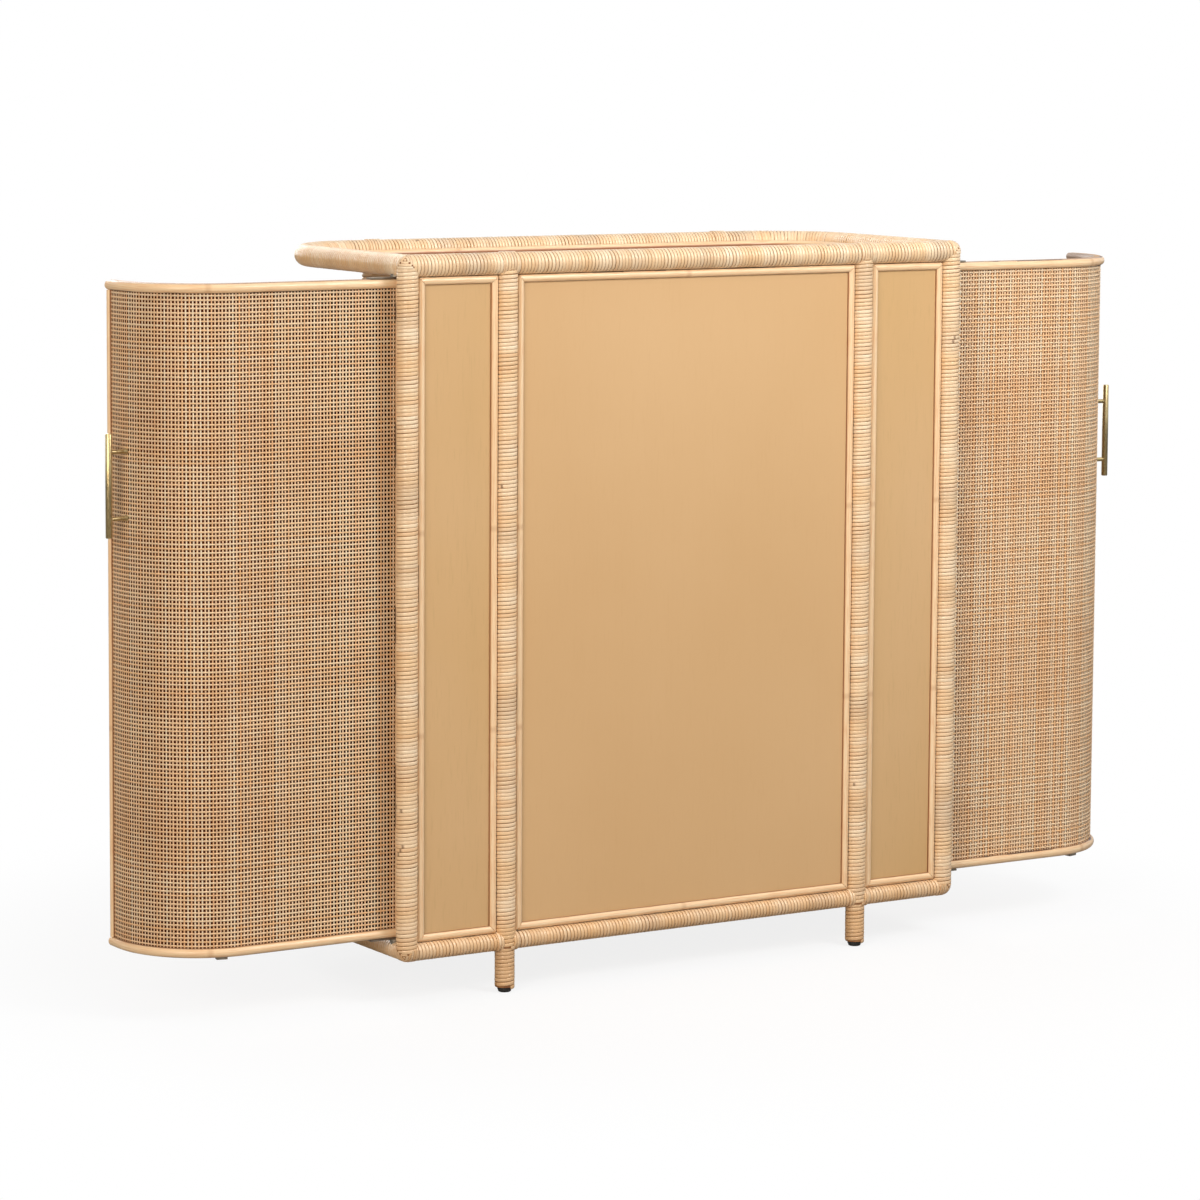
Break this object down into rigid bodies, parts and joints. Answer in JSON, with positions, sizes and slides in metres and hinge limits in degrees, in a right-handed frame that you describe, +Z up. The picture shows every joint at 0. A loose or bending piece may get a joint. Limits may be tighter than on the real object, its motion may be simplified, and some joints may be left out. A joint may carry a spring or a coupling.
{
  "type": "rattan bar cabinet",
  "caption": "Bar cabinet on a wrapped pole frame with a raised tray rim, open shelf bays, panelled back and curved cane doors that swing on pivots round the front corners.",
  "frame": {"origin": "on the floor, at the middle of the rims' plan", "axes": "+Z up; -Y towards the open front bays; +Y towards the panelled back; +X to the right seen from the front"},
  "size_m": [1.812, 0.44, 1.1],
  "materials": {
    "rattan_wrap": "satin",
    "rattan_peel": "satin",
    "panel_centre": "satin",
    "panel_side": "satin",
    "plywood": "matt",
    "cane": "matt",
    "brass": "satin",
    "steel": "satin",
    "glide": "matt"
  },
  "bodies": {
    "cabinet": {"back_corner_post_left": "rattan_wrap", "back_corner_post_right": "rattan_wrap", "back_mid_post_left": "rattan_wrap", "back_mid_post_right": "rattan_wrap", "front_post_left": "rattan_wrap", "front_post_right": "rattan_wrap", "tray_rim_back": "rattan_wrap", "tray_rim_loop": "rattan_wrap", "base_rim_back": "rattan_wrap", "base_rim_loop": "rattan_wrap", "foot_back_left": "rattan_wrap", "foot_back_right": "rattan_wrap", "foot_front_left": "rattan_wrap", "foot_front_right": "rattan_wrap", "glides": "glide", "top_board": "plywood", "tray_bead": "rattan_peel", "floor_board": "plywood", "back_panel_left": "panel_side", "back_panel_centre": "panel_centre", "back_panel_right": "panel_side", "bead_frame_left": "rattan_peel", "bead_frame_centre": "rattan_peel", "bead_frame_right": "rattan_peel", "partition_left": "plywood", "partition_right": "plywood", "centre_shelf_lower": "plywood", "centre_shelf_upper": "plywood", "side_shelf_left_lower": "plywood", "side_shelf_left_upper": "plywood", "side_shelf_right_lower": "plywood", "side_shelf_right_upper": "plywood", "shelf_battens": "plywood", "pivot_bushes": "steel", "catch_magnets": "steel"},
    "left_door": {"left_door_leaf": "plywood", "left_door_cane": "cane", "left_door_rail_top": "rattan_peel", "left_door_rail_bottom": "rattan_peel", "left_door_free_bead": "rattan_peel", "left_door_hinge_bead": "rattan_peel", "left_door_inner_trim": "rattan_peel", "left_handle_bar": "brass", "left_handle_stems": "brass", "left_handle_screws": "steel", "left_pivot_plates": "steel", "left_strike": "steel"},
    "right_door": {"right_door_leaf": "plywood", "right_door_cane": "cane", "right_door_rail_top": "rattan_peel", "right_door_rail_bottom": "rattan_peel", "right_door_free_bead": "rattan_peel", "right_door_hinge_bead": "rattan_peel", "right_door_inner_trim": "rattan_peel", "right_handle_bar": "brass", "right_handle_stems": "brass", "right_handle_screws": "steel", "right_pivot_plates": "steel", "right_strike": "steel"}
  },
  "joints": [
    {"name": "left_door_swing", "type": "hinge", "parent": "cabinet", "child": "left_door", "pos_m": [-0.4885, 0.17352, 0], "axis": [0, 0, 1], "range_deg": [0, 90]},
    {"name": "right_door_swing", "type": "hinge", "parent": "cabinet", "child": "right_door", "pos_m": [0.4885, 0.17352, 0], "axis": [0, 0, 1], "range_deg": [-90, 0]}
  ]
}
